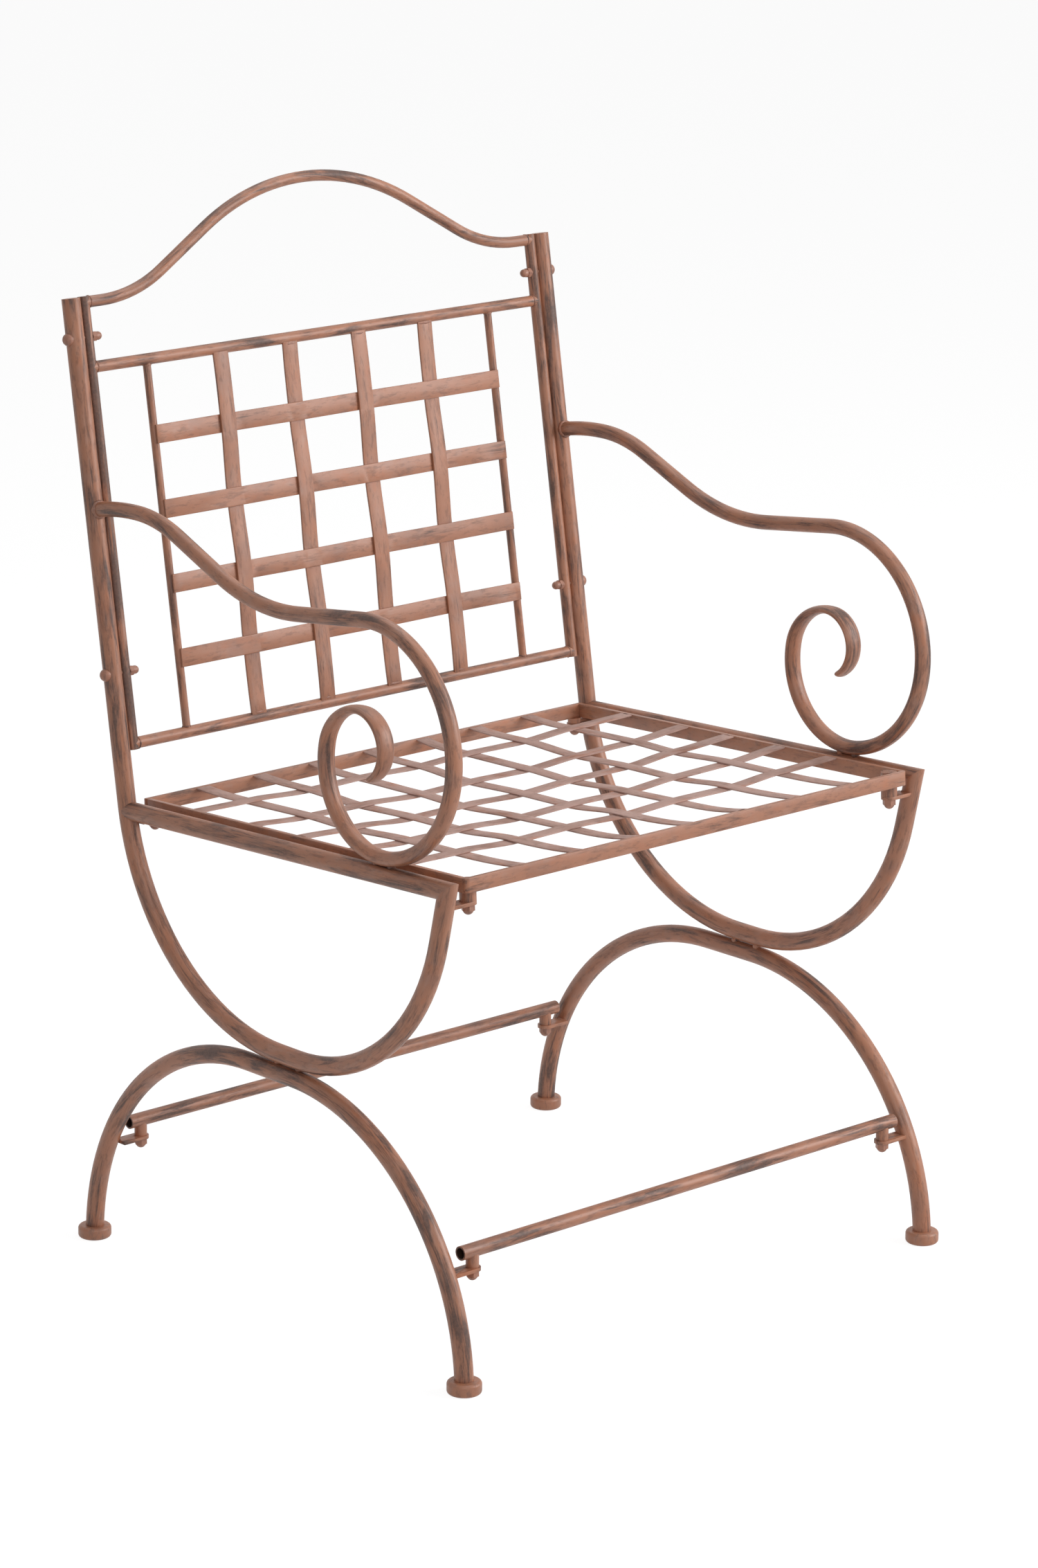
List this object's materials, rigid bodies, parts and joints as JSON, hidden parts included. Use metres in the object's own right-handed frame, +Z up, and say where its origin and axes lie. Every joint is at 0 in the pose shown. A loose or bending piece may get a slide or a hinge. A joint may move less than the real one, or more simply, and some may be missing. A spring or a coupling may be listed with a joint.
{
  "type": "garden armchair",
  "caption": "Open garden armchair of bent steel tube with a woven strip seat and back, scrolled arms and an arched crest, bolted together.",
  "frame": {"origin": "on the floor under the middle of the chair's overall box", "axes": "+Z up, -Y to the front of the chair, -X to its left as seen from the front"},
  "size_m": [0.5624, 0.5352, 0.9104],
  "materials": {
    "frame_paint": "matt brushed antique brown paint",
    "strip_paint": "matt brushed antique brown paint",
    "fastener_paint": "matt brushed antique brown paint",
    "foot_paint": "matt brushed antique brown paint"
  },
  "bodies": {
    "root": {"armrest_left": "frame_paint", "armrest_right": "frame_paint", "back_bolts": "fastener_paint", "back_bottom_rail": "frame_paint", "back_cap_nuts": "fastener_paint", "back_edge_bar_left": "frame_paint", "back_edge_bar_right": "frame_paint", "back_level_strip_1": "strip_paint", "back_level_strip_2": "strip_paint", "back_level_strip_3": "strip_paint", "back_level_strip_4": "strip_paint", "back_side_bar_left": "frame_paint", "back_side_bar_right": "frame_paint", "back_top_rail": "frame_paint", "back_upright_strip_1": "strip_paint", "back_upright_strip_2": "strip_paint", "back_upright_strip_3": "strip_paint", "back_upright_strip_4": "strip_paint", "cap_nuts": "fastener_paint", "crest_rail": "frame_paint", "foot_front_left": "foot_paint", "foot_front_right": "foot_paint", "foot_rear_left": "foot_paint", "foot_rear_right": "foot_paint", "frame_studs": "fastener_paint", "front_stretcher": "frame_paint", "leg_arch_left": "frame_paint", "leg_arch_right": "frame_paint", "rear_stretcher": "frame_paint", "seat_bosses": "frame_paint", "seat_cross_strip_1": "strip_paint", "seat_cross_strip_2": "strip_paint", "seat_cross_strip_3": "strip_paint", "seat_cross_strip_4": "strip_paint", "seat_cross_strip_5": "strip_paint", "seat_front_rail": "frame_paint", "seat_long_strip_1": "strip_paint", "seat_long_strip_2": "strip_paint", "seat_long_strip_3": "strip_paint", "seat_long_strip_4": "strip_paint", "seat_long_strip_5": "strip_paint", "seat_long_strip_6": "strip_paint", "seat_long_strip_7": "strip_paint", "seat_rear_rail": "frame_paint", "seat_side_rail_left": "frame_paint", "seat_side_rail_right": "frame_paint", "seat_tab_front_left": "frame_paint", "seat_tab_front_right": "frame_paint", "seat_tab_rear_left": "frame_paint", "seat_tab_rear_right": "frame_paint", "side_rail_left": "frame_paint", "side_rail_right": "frame_paint", "stretcher_bosses": "frame_paint", "stretcher_tab_front_left": "frame_paint", "stretcher_tab_front_right": "frame_paint", "stretcher_tab_rear_left": "frame_paint", "stretcher_tab_rear_right": "frame_paint", "upright_tube_left": "frame_paint", "upright_tube_right": "frame_paint", "weld_beads": "frame_paint"}
  },
  "joints": []
}
